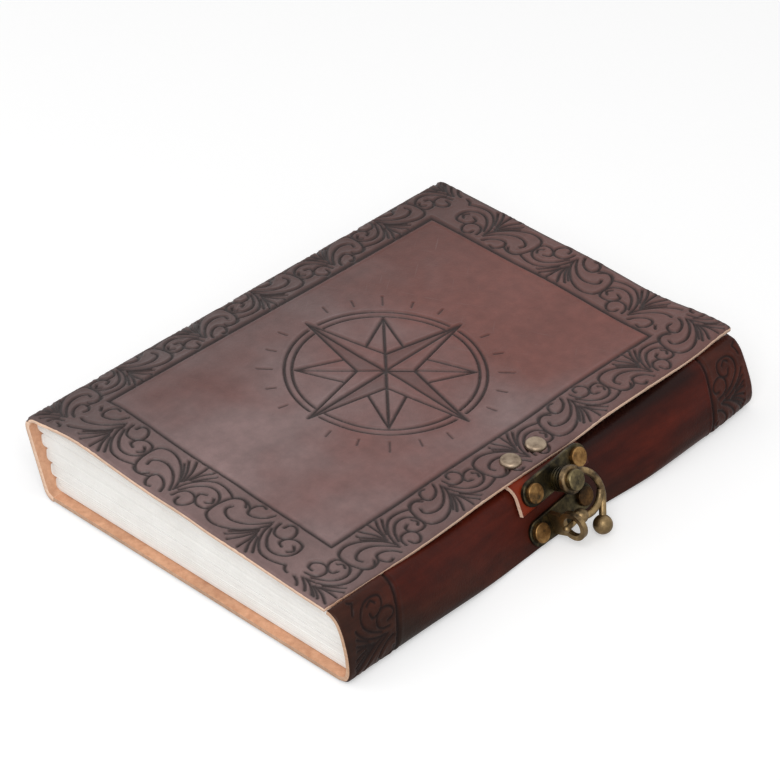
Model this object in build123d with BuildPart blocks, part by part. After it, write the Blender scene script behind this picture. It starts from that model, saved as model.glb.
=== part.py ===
"""A leather diary with a brass swing-hook lock.

One hide wraps a block of five sewn paper sections: front cover, spine, back cover and a
flap that rises over the fore edge. A leather tab under the front cover carries the swing
hook, and the hook's tip passes through a staple eye on the flap.

Frame, in millimetres: X runs from the spine to the fore edge, Y from tail to head and
Z upward from the table. The origin is on the underside of the back cover.
"""

import os
from math import cos, radians, sin, tan

from build123d import *

# Cover and paper
cover_height = 178.0
page_height = 173.2
hide = 1.7
section_count = 5
section_pitch = 4.5
sheet_gap = 0.12
fold_gap = 0.3
fold_x = -56.7
spine_lean = 20.0
cover_slope = 2.1
cover_reach = 116.2

# Fore-edge flap
flap_overhang = 7.776
flap_bend_radius = 2.5
flap_lean = 24.0
flap_curl_radius = 3.0
flap_lip = 1.2
flap_cut_angle = -45.0
flap_pressed_length = 44.0
flap_end_lean = 3.0
flap_end_curl_radius = 7.0
flap_end_gap = 0.3
fore_edge_gap = 1.0
lip_room = 2.6
lip_sections = 2

# Closure tab
tab_thickness = 1.7
tab_width = 30.0
tab_center_y = 1.6
tab_root = 10.5
tab_hem = 4.8
tab_seat_gap = 0.1
tab_flap_gap = 0.7
recess_gap = 0.5

# Rivets
rivet_head_diameter = 6.5
rivet_head_height = 1.5
rivet_dome = 1.1
rivet_shank_diameter = 2.6
rivet_clearance = 0.05
burr_diameter = 5.0
burr_thickness = 0.6
cover_rivet_spacing = 11.0
cover_rivet_inset = 5.4
cover_rivet_y = -1.0

# Lock plates
clasp_roll = 5.5
clasp_rise = 1.1
plate_spacing = 12.7
lower_plate_shift = -1.1
plate_margin = 1.0
plate_width = 8.0
plate_thickness = 1.2
plate_edge = 0.35
plate_rivet_diameter = 6.0
plate_rivet_height = 1.2
plate_rivet_edge = 0.3

# Pivot of the hook, below the middle of the upper plate
pivot_drop = 1.2
post_diameter = 4.0
post_clearance = 0.06
post_head_diameter = 6.2
post_head_height = 1.4
boss_diameter = 7.4
boss_length = 4.2
boss_ridge_count = 4
boss_ridge_depth = 0.35
eye_diameter = 8.6
eye_thickness = 2.4
eye_edge = 0.8
eye_gap = 0.1

# Swing hook, from the pivot: across the plate and up the slope
wire_diameter = 2.2
arm_start = (3.0, 1.0)
arm_crown = (8.4, -3.6)
arm_end = (9.0, -10.4)
tail_ball_center = (5.0, -18.2)
tail_ball_diameter = 5.9
tip_start = (9.0, -8.6)
tip_bend = (4.8, -12.3)
tip_bead_center = (-1.6, -11.2)
tip_bead_diameter = 4.6
tip_end = (-8.2, -11.6)
tip_wire_diameter = 1.7
tip_ball_diameter = 2.1

# Staple eye
staple_across = -5.4
staple_down = -13.4
staple_outer_diameter = 9.2
staple_hole_diameter = 6.0
staple_thickness = 1.6
staple_foot = 7.0
staple_shoulder_angle = 45.0

# Sewing thread
thread_diameter = 0.9
thread_clearance = 0.05
thread_bend = 0.6
stitch_draw = 1.4
stitch_inner_y = 26.0
stitch_outer_y = 68.0
stitch_depth = 1.4

# Folds of the sections and the leather round them
section_radius = (section_pitch - sheet_gap) / 2
bend_inner = section_radius + fold_gap
bend_outer = bend_inner + hide
spine_step = section_pitch * tan(radians(spine_lean))
spine_normal = Vector(-cos(radians(spine_lean)), 0, -sin(radians(spine_lean)))
spine_up = Vector(-sin(radians(spine_lean)), 0, cos(radians(spine_lean)))


def fold_center(index):
    """Centre of a section's folded edge, counted from the bottom section."""
    return Vector(fold_x - index * spine_step, 0, bend_outer + index * section_pitch)


def section_slope(index):
    """Slope of the plane under a section: level at the back cover, sloped at the front."""
    return cover_slope * index / section_count


bottom_fold = fold_center(0)
top_fold = fold_center(section_count - 1)
cover_along = Vector(cos(radians(cover_slope)), 0, -sin(radians(cover_slope)))
cover_normal = Vector(sin(radians(cover_slope)), 0, cos(radians(cover_slope)))
cover_start = top_fold + cover_normal * bend_outer
cover_edge = cover_start + cover_along * cover_reach
cover_top = Plane(origin=cover_edge, x_dir=cover_along, z_dir=cover_normal)
cover_hinge = top_fold + spine_normal * bend_outer

# The flap leans on a line that touches its bottom bend and its top curl
flap_normal = Vector(cos(radians(flap_lean)), 0, sin(radians(flap_lean)))
flap_up = Vector(-sin(radians(flap_lean)), 0, cos(radians(flap_lean)))
flap_front_x = cover_edge.X + flap_overhang
flap_bend_center = Vector(flap_front_x - flap_bend_radius, 0, flap_bend_radius)
tab_inner_radius = flap_curl_radius + tab_flap_gap
tab_outer_radius = tab_inner_radius + tab_thickness
curl_depth = hide + tab_seat_gap + tab_outer_radius
curl_base = cover_edge - cover_normal * curl_depth
curl_run = flap_bend_center + flap_normal * (flap_bend_radius - flap_curl_radius) - curl_base
curl_center = curl_base + cover_along * (curl_run.dot(flap_normal) / cover_along.dot(flap_normal))
flap_line_start = flap_bend_center + flap_normal * flap_bend_radius

# At its head and tail the flap stands steeper and tucks its lip under the cover
end_normal = Vector(cos(radians(flap_end_lean)), 0, sin(radians(flap_end_lean)))
end_up = Vector(-sin(radians(flap_end_lean)), 0, cos(radians(flap_end_lean)))
end_run = flap_bend_center + end_normal * (flap_bend_radius - flap_end_curl_radius)
end_top = cover_edge - cover_normal * (hide + flap_end_gap)
end_rise = end_top.Z - flap_end_curl_radius - end_run.Z
end_curl_center = end_run + end_up * (end_rise / end_up.Z)
tab_line_start = curl_center + flap_normal * tab_outer_radius

# The lock's frame: across the plate, up the slope and out from the tab
lock_across = Vector(0, cos(radians(clasp_roll)), 0) + flap_up * sin(radians(clasp_roll))
lock_origin = tab_line_start + flap_up * clasp_rise + Vector(0, tab_center_y, 0)
lock = Plane(origin=lock_origin, x_dir=lock_across, z_dir=flap_normal)
flap_face = -(tab_thickness + tab_flap_gap)
pivot = Plane(
    origin=lock.from_local_coords(Vector(0, -pivot_drop, 0)),
    x_dir=lock_across,
    z_dir=flap_normal,
)
lower_lock = Plane(
    origin=lock.from_local_coords(Vector(lower_plate_shift, -plate_spacing, flap_face)),
    x_dir=lock_across,
    z_dir=flap_normal,
)
plate_length = tab_width - 2 * plate_margin
plate_rivet_spacing = plate_length - plate_width
ends = ("tail", "head")
plate_rivet_spots = [(-plate_rivet_spacing / 2, 0), (plate_rivet_spacing / 2, 0)]
boss_base = plate_thickness
eye_base = boss_base + boss_length + eye_gap
eye_middle = eye_base + eye_thickness / 2
post_head_base = eye_base + eye_thickness + eye_gap
cover_rivet_spots = [
    (-cover_rivet_inset, cover_rivet_y - cover_rivet_spacing / 2),
    (-cover_rivet_inset, cover_rivet_y + cover_rivet_spacing / 2),
]
rivet_hole_radius = rivet_shank_diameter / 2 + rivet_clearance
hole_reach = hide + tab_thickness


def flat(point):
    """A point's place in the XZ profile sketches."""
    return (point.X, point.Z)


def write(solid, name):
    """Label a finished piece and write its file."""
    solid.label = name
    export_step(solid, f"parts/{name}.step")


os.makedirs("parts", exist_ok=True)

# Back cover, with the lower half of the fore-edge bend
with BuildPart() as back_cover:
    with BuildSketch(Plane.XZ):
        with BuildLine():
            outer_bend = CenterArc(
                flat(flap_bend_center), flap_bend_radius, -90, 90 + flap_cut_angle
            )
            inner_bend = CenterArc(
                flat(flap_bend_center), flap_bend_radius - hide, -90, 90 + flap_cut_angle
            )
            Line(outer_bend @ 1, inner_bend @ 1)
            Polyline(
                inner_bend @ 0,
                (bottom_fold.X, hide),
                (bottom_fold.X, 0),
                outer_bend @ 0,
            )
        make_face()
    extrude(amount=cover_height / 2, both=True)
write(back_cover.part, "back_cover")


def stitch_plane(index):
    """Plane on the spine's outside at a section's stitches, drawn in toward mid spine."""
    shift = stitch_draw * (1 - 2 * index / (section_count - 1))
    spot = fold_center(index) + spine_normal * bend_outer + spine_up * shift
    return Plane(origin=spot, x_dir=(0, 1, 0), z_dir=spine_normal)


def stitch_route(index):
    """A section's thread: two stitches outside the spine and a run inside the fold."""
    row = stitch_plane(index)
    rise = thread_diameter / 2 + thread_clearance
    sunk = -(hide + fold_gap + stitch_depth)
    return [
        row.from_local_coords(Vector(side * place, 0, level))
        for side, place, level in (
            (-1, stitch_outer_y, sunk),
            (-1, stitch_outer_y, rise),
            (-1, stitch_inner_y, rise),
            (-1, stitch_inner_y, sunk),
            (1, stitch_inner_y, sunk),
            (1, stitch_inner_y, rise),
            (1, stitch_outer_y, rise),
            (1, stitch_outer_y, sunk),
        )
    ]


sewn_count = section_count - 1
stitch_stations = [
    (side * place, 0) for side in (-1, 1) for place in (stitch_inner_y, stitch_outer_y)
]
thread_hole_radius = thread_diameter / 2 + thread_clearance

# Spine panel, round the bottom fold and up the folds of the sections
with BuildPart() as spine_panel:
    with BuildSketch(Plane.XZ):
        with BuildLine():
            outer_bend = CenterArc(
                flat(bottom_fold), bend_outer, 180 + spine_lean, 90 - spine_lean
            )
            inner_bend = CenterArc(
                flat(bottom_fold), bend_inner, 180 + spine_lean, 90 - spine_lean
            )
            Polyline(
                outer_bend @ 0,
                flat(top_fold + spine_normal * bend_outer),
                flat(top_fold + spine_normal * bend_inner),
                inner_bend @ 0,
            )
            Line(outer_bend @ 1, inner_bend @ 1)
        make_face()
    extrude(amount=cover_height / 2, both=True)
    for index in range(sewn_count):
        with BuildSketch(stitch_plane(index)):
            with Locations(*stitch_stations):
                Circle(thread_hole_radius)
        extrude(amount=-hide - fold_gap, mode=Mode.SUBTRACT)
write(spine_panel.part, "spine_panel")

# Front cover, round the top fold and out to the fore edge
with BuildPart() as front_cover:
    with BuildSketch(Plane.XZ):
        with BuildLine():
            turn = 90 + spine_lean + cover_slope
            outer_bend = CenterArc(flat(top_fold), bend_outer, 90 - cover_slope, turn)
            inner_bend = CenterArc(flat(top_fold), bend_inner, 90 - cover_slope, turn)
            Line(outer_bend @ 1, inner_bend @ 1)
            Polyline(
                outer_bend @ 0,
                flat(cover_edge),
                flat(cover_edge - cover_normal * hide),
                inner_bend @ 0,
            )
        make_face()
    extrude(amount=cover_height / 2, both=True)
    with BuildSketch(cover_top):
        with Locations(*cover_rivet_spots):
            Circle(rivet_hole_radius)
    extrude(amount=-hide, mode=Mode.SUBTRACT)
write(front_cover.part, "front_cover")


def flap_section(y, lean, center, radius):
    """The flap's profile at a place along it, from the bottom bend up to the curled edge."""
    with BuildSketch(Plane.XZ.offset(-y)) as section:
        with BuildLine():
            turn = lean - flap_cut_angle
            bend = flat(flap_bend_center)
            low_outer = CenterArc(bend, flap_bend_radius, flap_cut_angle, turn)
            low_inner = CenterArc(bend, flap_bend_radius - hide, flap_cut_angle, turn)
            top_outer = CenterArc(flat(center), radius, lean, 90 - lean)
            top_inner = CenterArc(flat(center), radius - hide, lean, 90 - lean)
            Line(low_outer @ 0, low_inner @ 0)
            Line(low_outer @ 1, top_outer @ 0)
            Line(low_inner @ 1, top_inner @ 0)
            lip = Vector(flap_lip, 0)
            Polyline(top_outer @ 1, top_outer @ 1 - lip, top_inner @ 1 - lip, top_inner @ 1)
        make_face()
    return section.sketch


# Fore-edge flap: pressed in under the tab, and fuller toward the head and the tail
with BuildPart() as fore_edge_flap:
    pressed = flap_section(0, flap_lean, curl_center, flap_curl_radius)
    extrude(pressed, amount=flap_pressed_length / 2, both=True)
    for side in (-1, 1):
        loft(
            [
                flap_section(
                    side * flap_pressed_length / 2, flap_lean, curl_center, flap_curl_radius
                ),
                flap_section(
                    side * cover_height / 2, flap_end_lean, end_curl_center, flap_end_curl_radius
                ),
            ]
        )
    with BuildSketch(lower_lock):
        with Locations(*plate_rivet_spots):
            Circle(rivet_hole_radius)
    extrude(amount=-hole_reach, mode=Mode.SUBTRACT)
write(fore_edge_flap.part, "fore_edge_flap")

# Closure tab, riveted under the front cover and bent down over the flap
cover_stack = hide + tab_seat_gap + tab_thickness
tab_root_end = cover_edge - cover_normal * (hide + tab_seat_gap) - cover_along * tab_root
tab_fall = tab_hem + tab_width * sin(radians(clasp_roll))
tab_tip = tab_line_start - flap_up * tab_fall
with BuildPart() as closure_tab:
    with BuildSketch(Plane.XZ.offset(-tab_center_y)):
        with BuildLine():
            turn = 90 - cover_slope - flap_lean
            outer_bend = CenterArc(flat(curl_center), tab_outer_radius, flap_lean, turn)
            inner_bend = CenterArc(flat(curl_center), tab_inner_radius, flap_lean, turn)
            Polyline(
                outer_bend @ 1,
                flat(tab_root_end),
                flat(tab_root_end - cover_normal * tab_thickness),
                inner_bend @ 1,
            )
            Polyline(
                outer_bend @ 0,
                flat(tab_tip),
                flat(tab_tip - flap_normal * tab_thickness),
                inner_bend @ 0,
            )
        make_face()
    extrude(amount=tab_width / 2, both=True)
    with BuildSketch(cover_top):
        with Locations(*cover_rivet_spots):
            Circle(rivet_hole_radius)
    extrude(amount=-(cover_stack + burr_thickness), mode=Mode.SUBTRACT)
    with BuildSketch(lock):
        with Locations(*plate_rivet_spots):
            Circle(rivet_hole_radius)
        with Locations((0, -tab_hem - tab_fall / 2)):
            Rectangle(2 * tab_width, tab_fall)
    extrude(amount=hole_reach, both=True, mode=Mode.SUBTRACT)
write(closure_tab.part, "closure_tab")

# Paper sections, numbered from the front cover down
fore_line_point = flap_line_start - flap_normal * (hide + fore_edge_gap)
recess_depth = cover_stack + burr_thickness + recess_gap


def fore_edge_at(point, along):
    """Where a line along a sheet meets the leaning fore edge of the block."""
    return point + along * ((fore_line_point - point).dot(flap_normal) / along.dot(flap_normal))


for index in range(section_count):
    center = fold_center(index)
    lower_slope = section_slope(index)
    upper_slope = section_slope(index + 1)
    lower_along = Vector(cos(radians(lower_slope)), 0, -sin(radians(lower_slope)))
    upper_along = Vector(cos(radians(upper_slope)), 0, -sin(radians(upper_slope)))
    is_top = index == section_count - 1
    setback = lip_room if index >= section_count - lip_sections else 0
    with BuildPart() as section:
        with BuildSketch(Plane.XZ):
            with BuildLine():
                fold = CenterArc(
                    flat(center),
                    section_radius,
                    90 - upper_slope,
                    180 + upper_slope - lower_slope,
                )
                upper_start = Vector((fold @ 0).X, 0, (fold @ 0).Y)
                lower_start = Vector((fold @ 1).X, 0, (fold @ 1).Y)
                Polyline(
                    fold @ 0,
                    flat(fore_edge_at(upper_start, upper_along) - upper_along * setback),
                    flat(fore_edge_at(lower_start, lower_along) - lower_along * setback),
                    fold @ 1,
                )
            make_face()
        extrude(amount=page_height / 2, both=True)
        if is_top:
            with BuildSketch(cover_top):
                with Locations((-tab_root / 2, tab_center_y)):
                    Rectangle(tab_root + 2 * recess_gap, tab_width + 2 * recess_gap)
            extrude(amount=-recess_depth, mode=Mode.SUBTRACT)
        else:
            with BuildLine() as route:
                FilletPolyline(*stitch_route(index), radius=thread_bend)
            with BuildSketch(Plane(origin=route.line @ 0, z_dir=route.line % 0)):
                Circle(thread_hole_radius)
            sweep(path=route.line, mode=Mode.SUBTRACT)
    write(section.part, f"section_{section_count - index}")

# Sewing threads, numbered like the sections that they hold to the spine
for index in range(sewn_count):
    with BuildPart() as sewing_thread:
        with BuildLine() as route:
            FilletPolyline(*stitch_route(index), radius=thread_bend)
        with BuildSketch(Plane(origin=route.line @ 0, z_dir=route.line % 0)):
            Circle(thread_diameter / 2)
        sweep(path=route.line)
    write(sewing_thread.part, f"sewing_thread_{section_count - index}")


def rivet(plane, spot, head_diameter, head_height, rounding, shank_length):
    """A rivet with a rounded head on a plane and a shank going in below it."""
    with BuildPart() as piece:
        with BuildSketch(plane):
            with Locations(spot):
                Circle(head_diameter / 2)
        extrude(amount=head_height)
        out = Axis(plane.origin, plane.z_dir)
        fillet(piece.edges().group_by(out)[-1], rounding)
        with BuildSketch(plane):
            with Locations(spot):
                Circle(rivet_shank_diameter / 2)
        extrude(amount=-shank_length)
    return piece.part


def burr(plane, spot):
    """The washer that the end of a rivet is set in, below a plane."""
    with BuildPart() as piece:
        with BuildSketch(plane):
            with Locations(spot):
                Circle(burr_diameter / 2)
                Circle(rivet_hole_radius, mode=Mode.SUBTRACT)
        extrude(amount=-burr_thickness)
    return piece.part


def lock_plate(plane, hole_radii):
    """A bar with round ends, rounded front edges and holes at the rivets and the middle."""
    with BuildPart() as plate:
        with BuildSketch(plane):
            SlotOverall(plate_length, plate_width)
        extrude(amount=plate_thickness)
        out = Axis(plane.origin, plane.z_dir)
        fillet(plate.edges().group_by(out)[-1], plate_edge)
        for spot, radius in hole_radii:
            with BuildSketch(plane):
                with Locations(spot):
                    Circle(radius)
            extrude(amount=plate_thickness, mode=Mode.SUBTRACT)
    return plate.part


# Rivets through the front cover and the tab, with their burrs under the tab
for end, spot in zip(ends, cover_rivet_spots):
    cover_rivet = rivet(
        cover_top,
        spot,
        rivet_head_diameter,
        rivet_head_height,
        rivet_dome,
        cover_stack + burr_thickness,
    )
    write(cover_rivet, f"cover_rivet_{end}")
    write(burr(cover_top.offset(-cover_stack), spot), f"cover_burr_{end}")

# Lock plates, the upper on the tab and the lower on the flap, with rivets set flush inside
plate_holes = [(spot, rivet_hole_radius) for spot in plate_rivet_spots]
post_hole = ((0, -pivot_drop), post_diameter / 2 + rivet_clearance)
write(lock_plate(lock, plate_holes + [post_hole]), "upper_plate")
write(lock_plate(lower_lock, plate_holes), "lower_plate")
for row, plane, leather in (("upper", lock, tab_thickness), ("lower", lower_lock, hide)):
    for end, spot in zip(ends, plate_rivet_spots):
        plate_rivet = rivet(
            plane.offset(plate_thickness),
            spot,
            plate_rivet_diameter,
            plate_rivet_height,
            plate_rivet_edge,
            plate_thickness + leather,
        )
        write(plate_rivet, f"{row}_plate_rivet_{end}")

# Pivot post with its flat head
with BuildPart() as pivot_post:
    with BuildSketch(pivot):
        Circle(post_diameter / 2)
    extrude(amount=post_head_base)
    with BuildSketch(pivot.offset(post_head_base)):
        Circle(post_head_diameter / 2)
    extrude(amount=post_head_height)
    out = Axis(pivot.origin, pivot.z_dir)
    fillet(pivot_post.edges().group_by(out)[-1], plate_rivet_edge)
write(pivot_post.part, "pivot_post")

# Ridged boss round the post, between the plate and the hook
ridge_pitch = boss_length / boss_ridge_count
with BuildPart() as ridged_boss:
    with BuildSketch(pivot.offset(boss_base)):
        Circle(boss_diameter / 2 - boss_ridge_depth)
    extrude(amount=boss_length)
    for ridge in range(boss_ridge_count):
        with BuildSketch(pivot.offset(boss_base + ridge * ridge_pitch)):
            Circle(boss_diameter / 2)
        extrude(amount=ridge_pitch / 2)
    with BuildSketch(pivot.offset(boss_base)):
        Circle(post_diameter / 2 + rivet_clearance)
    extrude(amount=boss_length, mode=Mode.SUBTRACT)
write(ridged_boss.part, "ridged_boss")

# Swing hook: eye, curved arm, thumb tail with its ball, and a beaded tip through the staple
hook_plane = pivot.offset(eye_middle)
tail_ball = hook_plane.from_local_coords(Vector(*tail_ball_center, 0))
tip_bead = hook_plane.from_local_coords(Vector(*tip_bead_center, 0))
tip_ball = hook_plane.from_local_coords(Vector(*tip_end, 0))
with BuildPart() as swing_hook:
    with BuildSketch(pivot.offset(eye_base)):
        Circle(eye_diameter / 2)
    extrude(amount=eye_thickness)
    fillet(swing_hook.edges(), eye_edge)
    with BuildLine(hook_plane) as arm:
        ThreePointArc(arm_start, arm_crown, arm_end)
    with BuildSketch(Plane(origin=arm.line @ 0, z_dir=arm.line % 0)):
        Circle(wire_diameter / 2)
    sweep(path=arm.line)
    with BuildLine(hook_plane) as tail:
        Line(arm_end, tail_ball_center)
    with BuildSketch(Plane(origin=tail.line @ 0, z_dir=tail.line % 0)):
        Circle(wire_diameter / 2)
    sweep(path=tail.line)
    with BuildLine(hook_plane) as tip:
        ThreePointArc(tip_start, tip_bend, tip_bead_center)
    with BuildSketch(Plane(origin=tip.line @ 0, z_dir=tip.line % 0)):
        Circle(wire_diameter / 2)
    sweep(path=tip.line)
    with BuildLine(hook_plane) as point:
        Line(tip_bead_center, tip_end)
    with BuildSketch(Plane(origin=point.line @ 0, z_dir=point.line % 0)):
        Circle(tip_wire_diameter / 2)
    sweep(path=point.line)
    with Locations(arm.line @ 1):
        Sphere(wire_diameter / 2)
    with Locations(tail_ball):
        Sphere(tail_ball_diameter / 2)
    with Locations(tip_bead):
        Sphere(tip_bead_diameter / 2)
    with Locations(tip_ball):
        Sphere(tip_ball_diameter / 2)
    with BuildSketch(pivot.offset(eye_base)):
        Circle(post_diameter / 2 + post_clearance)
    extrude(amount=eye_thickness, mode=Mode.SUBTRACT)
write(swing_hook.part, "swing_hook")

# Staple eye: an upright lug on the lower plate, pierced for the hook's tip
staple_plane = Plane(
    origin=lock.from_local_coords(Vector(staple_across, 0, 0)),
    x_dir=lock.y_dir,
    z_dir=lock.x_dir,
)
staple_base = flap_face + plate_thickness
staple_shoulder = staple_outer_diameter / 2 * cos(radians(staple_shoulder_angle))
with BuildPart() as staple_eye:
    with BuildSketch(staple_plane):
        with BuildLine():
            Polyline(
                (-plate_spacing - staple_foot / 2, staple_base),
                (-plate_spacing + staple_foot / 2, staple_base),
                (staple_down + staple_shoulder, eye_middle - staple_shoulder),
                (staple_down - staple_shoulder, eye_middle - staple_shoulder),
                close=True,
            )
        make_face()
        with Locations((staple_down, eye_middle)):
            Circle(staple_outer_diameter / 2)
            Circle(staple_hole_diameter / 2, mode=Mode.SUBTRACT)
    extrude(amount=staple_thickness / 2, both=True)
write(staple_eye.part, "staple_eye")
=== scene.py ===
"""Looks of the leather diary: one tooled hide, folded sheets and an aged brass lock.

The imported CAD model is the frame. Lengths of meshes are millimetres, and become metres when
a mesh is made; materials, floor and lamps are in metres.
"""

import math

import bpy
import numpy as np
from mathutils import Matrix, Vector, kdtree


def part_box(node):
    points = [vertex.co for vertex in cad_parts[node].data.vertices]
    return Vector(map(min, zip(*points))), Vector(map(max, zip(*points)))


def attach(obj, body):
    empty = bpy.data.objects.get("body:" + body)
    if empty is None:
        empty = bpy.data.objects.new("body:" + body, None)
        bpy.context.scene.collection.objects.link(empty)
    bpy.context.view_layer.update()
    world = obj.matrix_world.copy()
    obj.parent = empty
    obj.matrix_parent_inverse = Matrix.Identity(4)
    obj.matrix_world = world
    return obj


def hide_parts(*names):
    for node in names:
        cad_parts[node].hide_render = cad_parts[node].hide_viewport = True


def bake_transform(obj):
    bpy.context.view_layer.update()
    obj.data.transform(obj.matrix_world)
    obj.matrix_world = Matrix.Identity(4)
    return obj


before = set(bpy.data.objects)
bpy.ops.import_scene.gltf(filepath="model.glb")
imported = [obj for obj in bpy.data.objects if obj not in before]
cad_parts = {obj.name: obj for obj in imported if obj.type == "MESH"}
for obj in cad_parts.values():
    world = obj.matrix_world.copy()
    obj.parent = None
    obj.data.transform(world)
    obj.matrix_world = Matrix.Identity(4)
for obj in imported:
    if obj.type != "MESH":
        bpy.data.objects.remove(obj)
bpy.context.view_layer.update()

MM = 0.001
seeded = np.random.default_rng(7)

# Hide and paper, as in the CAD model
half_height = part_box("front_cover")[1][1] / MM
hide = 1.7
spine_lean = math.radians(20.0)
cover_slope = math.radians(2.1)
cover_reach = 116.2
bend_outer = 4.19
bottom_fold = np.array([-56.7, bend_outer])
section_count = 5
section_pitch = 4.5
section_radius = 2.19
page_half = 86.6
spine_up = np.array([-math.sin(spine_lean), math.cos(spine_lean)])
spine_out = np.array([-math.cos(spine_lean), -math.sin(spine_lean)])
cover_along = np.array([math.cos(cover_slope), -math.sin(cover_slope)])
cover_up = np.array([math.sin(cover_slope), math.cos(cover_slope)])


def fold_center(index):
    """Centre of a section's fold in XZ, counted from the bottom section."""
    rise = index * section_pitch
    return bottom_fold + np.array([-rise * math.tan(spine_lean), rise])


top_fold = fold_center(section_count - 1)
cover_start = top_fold + cover_up * bend_outer
cover_edge = cover_start + cover_along * cover_reach

# The flap's outer profile, from the bottom bend to the lip, at its middle and its ends
flap_middle = np.array([
    (59.2, 0.0), (61.3, 0.35), (61.75, 1.5), (59.17, 6.7), (57.39, 10.7),
    (55.6, 14.7), (54.7, 16.6), (52.6, 17.85), (48.6, 18.05),
])
flap_tail = np.array([
    (59.6, 0.0), (62.6, 1.1), (63.9, 4.2), (63.5, 8.8), (62.3, 13.2),
    (60.8, 17.0), (58.9, 19.8), (56.6, 21.3), (54.8, 21.7),
])
flap_head = np.array([
    (60.2, 0.0), (63.2, 0.9), (64.4, 3.8), (63.7, 8.0), (61.9, 12.2),
    (59.9, 16.0), (57.7, 19.4), (54.9, 21.5), (51.6, 22.0),
])
flap_flat_half = 18.0
flap_low_flat_half = 14.6
flap_low_blend = 20.0
flap_start_x = 54.0

# Tooling on the front: frame, scrolled border and compass rose
groove_depth = 0.56
groove_width = 0.42
groove_tone = 0.95
groove_sharpness = 1.7
shoulder_place = 2.2
shoulder_share = 0.3
frame_line_depth = 0.55
frame_line_width = 0.55
frame_spine_x = -52.3
frame_fore_x = 37.3
frame_half = 69.7
side_band = 15.7
end_band = half_height - frame_half
side_units = 5
end_units = 3
side_margin = 1.2
end_margin = 0.8
end_first_unit = 0.42
border_rise = 0.12
border_fade = 0.8
rose_center = np.array([-6.5, -0.8])
rose_long_point = 33.0
rose_short_point = 27.0
rose_waist = 8.6
rose_root = 12.6
rose_rings = (30.2, 27.9)
# The lower half of each long point of the rose is dropped, and painted darker as its shade
facet_drop = 0.24
facet_shade = 0.28
facet_fade = 0.5
tick_every = 15
tick_depth = 0.3
tick_width = 0.34
tick_tone = 0.6
tick_start = 33.8
tick_end = 36.6
long_tick_end = 38.3

# Tooling on the flap's two bands
band_groove_depth = 0.34
band_line_depth = 0.42
band_line_width = 0.6
band_margin = 3.5
band_lean = 5.5
band_scroll_at = 12.5

# Rounding of cut edges: depth at the edge, and how far in it fades
cover_edge_drop, cover_edge_fade = 0.8, 0.3
flap_edge_drop, flap_edge_fade = 0.45, 0.25
tab_edge_drop, tab_edge_fade = 0.35, 0.3

# Painted sheen on the leather: its slant over the cover, lighter toward the tail and fore edge;
# and shares of the dye's layers
sheen_tilt = 0.45
blotch_share = 0.34
border_share = 0.52
sheen_gain = 1.45
scuff_turns = (35.0, -62.0)
scuff_length = 25.0

# Fineness of the meshes, and a place beyond all of them
far_off = 99.0
fine_step = 0.3
row_stride = 6
column_stride = 9
flap_samples = 100


def point(x, y, z):
    """A millimetre place in metres."""
    return (x * MM, y * MM, z * MM)


def smooth(value):
    """Zero to one, eased at both ends."""
    value = np.clip(value, 0.0, 1.0)
    return value * value * (3 - 2 * value)


def srgb(red, green, blue):
    """A colour as a picture shows it, in the shader's linear values."""
    return tuple(((c / 255 + 0.055) / 1.055) ** 2.4 for c in (red, green, blue)) + (1.0,)


# -------- materials
def new_material(name):
    """An empty node material with its principled shader."""
    material = bpy.data.materials.new(name)
    material.use_nodes = True
    tree = material.node_tree
    return material, tree, tree.nodes["Principled BSDF"]


def feed(tree, socket, value):
    """An input set to a value, or linked where the value is another node's output."""
    if isinstance(value, bpy.types.NodeSocket):
        tree.links.new(value, socket)
    else:
        socket.default_value = value


def fill(tree, made, **inputs):
    """A node with some of its inputs fed, by their names."""
    for key, value in inputs.items():
        feed(tree, made.inputs[key.replace("_", " ")], value)
    return made


def node(tree, kind, **inputs):
    """A new node with some of its inputs fed."""
    return fill(tree, tree.nodes.new(kind), **inputs)


def place(tree, stretch=(1, 1, 1)):
    """Object coordinates, stretched."""
    coordinates = node(tree, "ShaderNodeTexCoord").outputs["Object"]
    return node(tree, "ShaderNodeMapping", Vector=coordinates, Scale=stretch).outputs["Vector"]


def streaked(tree, turn, length):
    """Object coordinates drawn out along a line across the cover."""
    coordinates = node(tree, "ShaderNodeTexCoord").outputs["Object"]
    drawn = node(tree, "ShaderNodeMapping", Vector=coordinates, Scale=(1, length, 1))
    drawn.vector_type = "TEXTURE"
    drawn.inputs["Rotation"].default_value = (0, 0, math.radians(turn))
    return drawn.outputs["Vector"]


def noise(tree, where, scale, detail=3.0, roughness=0.55):
    """A noise value from zero to one."""
    return node(
        tree, "ShaderNodeTexNoise", Vector=where, Scale=scale, Detail=detail, Roughness=roughness
    ).outputs["Fac"]


def ramp(tree, value, *stops):
    """A colour ramp through (place, colour) stops."""
    made = node(tree, "ShaderNodeValToRGB", Fac=value)
    elements = made.color_ramp.elements
    while len(elements) < len(stops):
        elements.new(0.5)
    for element, (spot, colour) in zip(elements, stops):
        element.position = spot
        element.color = colour
    return made.outputs["Color"]


def grey(level):
    """A grey for a ramp that gives a value."""
    return (level, level, level, 1.0)


def mix(tree, share, first, second, mode="MIX"):
    """Two colours mixed by a share."""
    made = tree.nodes.new("ShaderNodeMix")
    made.data_type = "RGBA"
    made.blend_type = mode
    for spot, value in ((0, share), (6, first), (7, second)):
        feed(tree, made.inputs[spot], value)
    return made.outputs[2]


def toned(tree, colour, value, low, high):
    """A colour times a grey that runs between two (place, level) stops of a value."""
    shade = ramp(tree, value, (low[0], grey(low[1])), (high[0], grey(high[1])))
    return mix(tree, 1.0, colour, shade, "MULTIPLY")


def math_node(tree, operation, first, second):
    """A sum, product or other operation on two values."""
    made = tree.nodes.new("ShaderNodeMath")
    made.operation = operation
    for socket, value in zip(made.inputs, (first, second)):
        feed(tree, socket, value)
    return made.outputs[0]


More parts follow.
